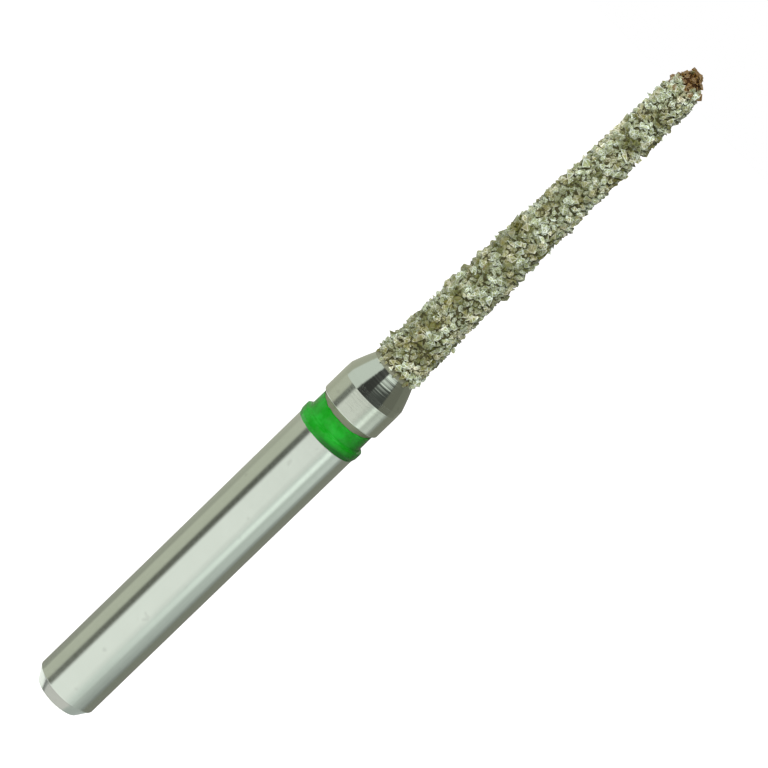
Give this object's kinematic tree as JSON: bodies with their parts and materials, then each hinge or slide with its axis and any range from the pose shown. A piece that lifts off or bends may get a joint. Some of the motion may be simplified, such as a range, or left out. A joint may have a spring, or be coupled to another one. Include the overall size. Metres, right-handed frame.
{
  "type": "dental bur",
  "caption": "Friction-grip dental bur with a plain round shank, a green lacquer band, a collar and neck, and a long tapered head coated in coarse diamond grit.",
  "frame": {"origin": "centre of the flat end face of the shank", "axes": "+Z along the axis of rotation from the shank's end to the tip of the head; X and Y are square to it, with nothing to tell them apart because the bur is round"},
  "size_m": [0.0016, 0.0016, 0.0205],
  "materials": {
    "stainless_steel": "satin",
    "green_lacquer": "gloss",
    "diamond_grit": "satin"
  },
  "bodies": {
    "root": {"steel_blank": "stainless_steel", "colour_band": "green_lacquer", "diamond_coating": "diamond_grit"}
  },
  "joints": []
}
